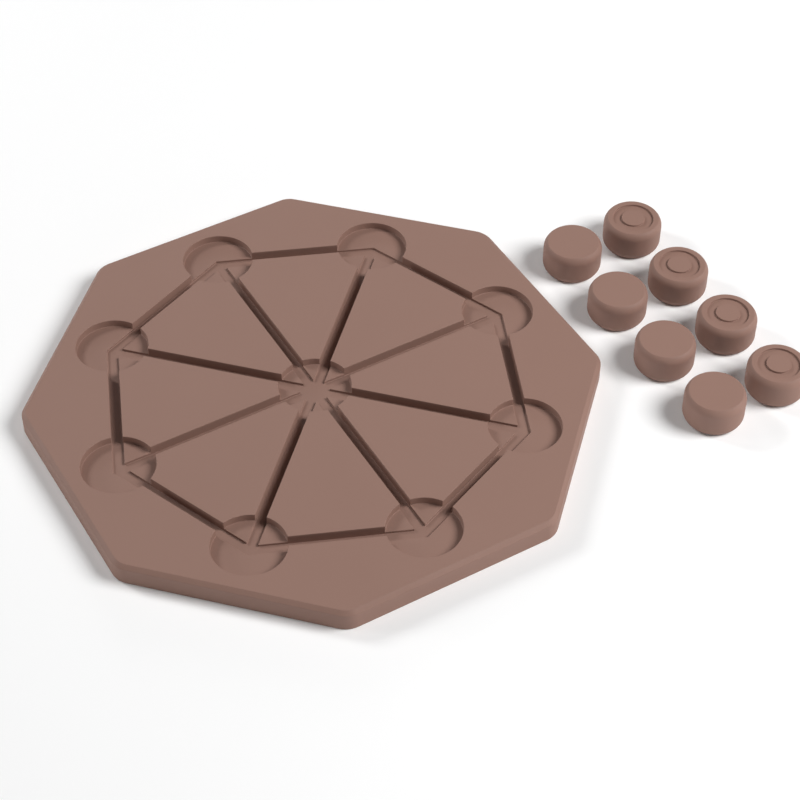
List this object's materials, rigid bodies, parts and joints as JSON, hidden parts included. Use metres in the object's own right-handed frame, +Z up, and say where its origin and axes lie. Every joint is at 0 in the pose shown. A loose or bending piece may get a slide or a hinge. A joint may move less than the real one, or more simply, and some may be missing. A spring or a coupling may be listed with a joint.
{
  "type": "mu torere board game set",
  "caption": "Octagonal board with round pockets joined by straight grooves, and round counters standing beside it, half plain and half with a sunk ring.",
  "frame": {"origin": "centre of the board's underside, on the surface it rests on", "axes": "+X from the board's centre to the counters standing beside it, +Y along the counters' columns, +Z up"},
  "size_m": [0.2638, 0.2, 0.0128],
  "materials": {
    "board": "matte",
    "plain_counters": "matte",
    "ringed_counters": "matte"
  },
  "bodies": {
    "board": {"board": "board"},
    "plain_counter_1": {"plain_counter_1": "plain_counters"},
    "plain_counter_2": {"plain_counter_2": "plain_counters"},
    "plain_counter_3": {"plain_counter_3": "plain_counters"},
    "plain_counter_4": {"plain_counter_4": "plain_counters"},
    "ringed_counter_1": {"ringed_counter_1": "ringed_counters"},
    "ringed_counter_2": {"ringed_counter_2": "ringed_counters"},
    "ringed_counter_3": {"ringed_counter_3": "ringed_counters"},
    "ringed_counter_4": {"ringed_counter_4": "ringed_counters"}
  },
  "joints": [
    {"name": "plain_counter_1_lift", "type": "slide", "parent": "board", "child": "plain_counter_1", "axis": [0, 0, 1], "range_m": [0, 0.04]},
    {"name": "plain_counter_2_lift", "type": "slide", "parent": "board", "child": "plain_counter_2", "axis": [0, 0, 1], "range_m": [0, 0.04]},
    {"name": "plain_counter_3_lift", "type": "slide", "parent": "board", "child": "plain_counter_3", "axis": [0, 0, 1], "range_m": [0, 0.04]},
    {"name": "plain_counter_4_lift", "type": "slide", "parent": "board", "child": "plain_counter_4", "axis": [0, 0, 1], "range_m": [0, 0.04]},
    {"name": "ringed_counter_1_lift", "type": "slide", "parent": "board", "child": "ringed_counter_1", "axis": [0, 0, 1], "range_m": [0, 0.04]},
    {"name": "ringed_counter_2_lift", "type": "slide", "parent": "board", "child": "ringed_counter_2", "axis": [0, 0, 1], "range_m": [0, 0.04]},
    {"name": "ringed_counter_3_lift", "type": "slide", "parent": "board", "child": "ringed_counter_3", "axis": [0, 0, 1], "range_m": [0, 0.04]},
    {"name": "ringed_counter_4_lift", "type": "slide", "parent": "board", "child": "ringed_counter_4", "axis": [0, 0, 1], "range_m": [0, 0.04]}
  ]
}
